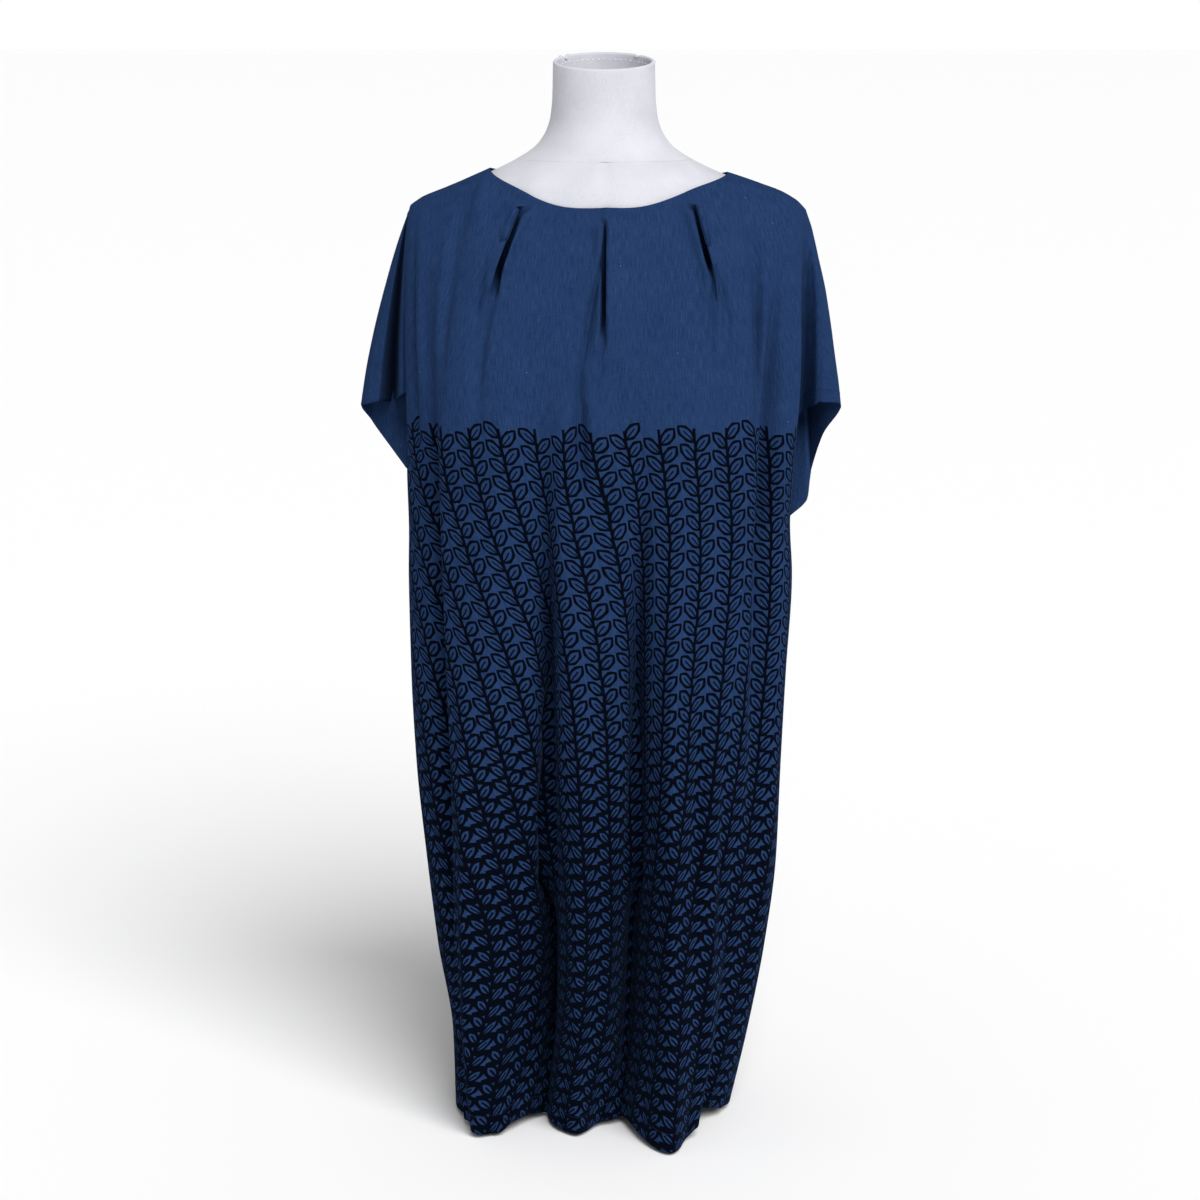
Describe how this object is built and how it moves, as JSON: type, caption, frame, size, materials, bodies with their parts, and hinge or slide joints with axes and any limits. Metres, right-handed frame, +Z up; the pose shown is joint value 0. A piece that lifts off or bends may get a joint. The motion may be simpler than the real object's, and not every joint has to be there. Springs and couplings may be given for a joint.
{
  "type": "tunic dress on a limbless dress form",
  "caption": "Loose knee-length tunic dress with grown-on cap sleeves, a wide neck and neckline pleats, hanging from a white limbless dress form on a short counter stand.",
  "frame": {"origin": "on the foot's flat underside, straight below the middle of the neckline's seams", "axes": "+Z up along the form, the wearer's front towards -Y, the viewer's right of the front towards +X"},
  "size_m": [0.4866, 0.2719, 1.1218],
  "materials": {
    "tunic_cloth": "matt woven cloth with a soft sheen, navy blue with a near-black leaf print",
    "form_cover": "stretched white jersey, matt",
    "stand_steel": "satin"
  },
  "bodies": {
    "root": {"front": "tunic_cloth", "back": "tunic_cloth", "form_torso": "form_cover", "form_neck": "form_cover", "pole_socket": "stand_steel", "stand_pole": "stand_steel", "stand_foot": "stand_steel"}
  },
  "joints": []
}
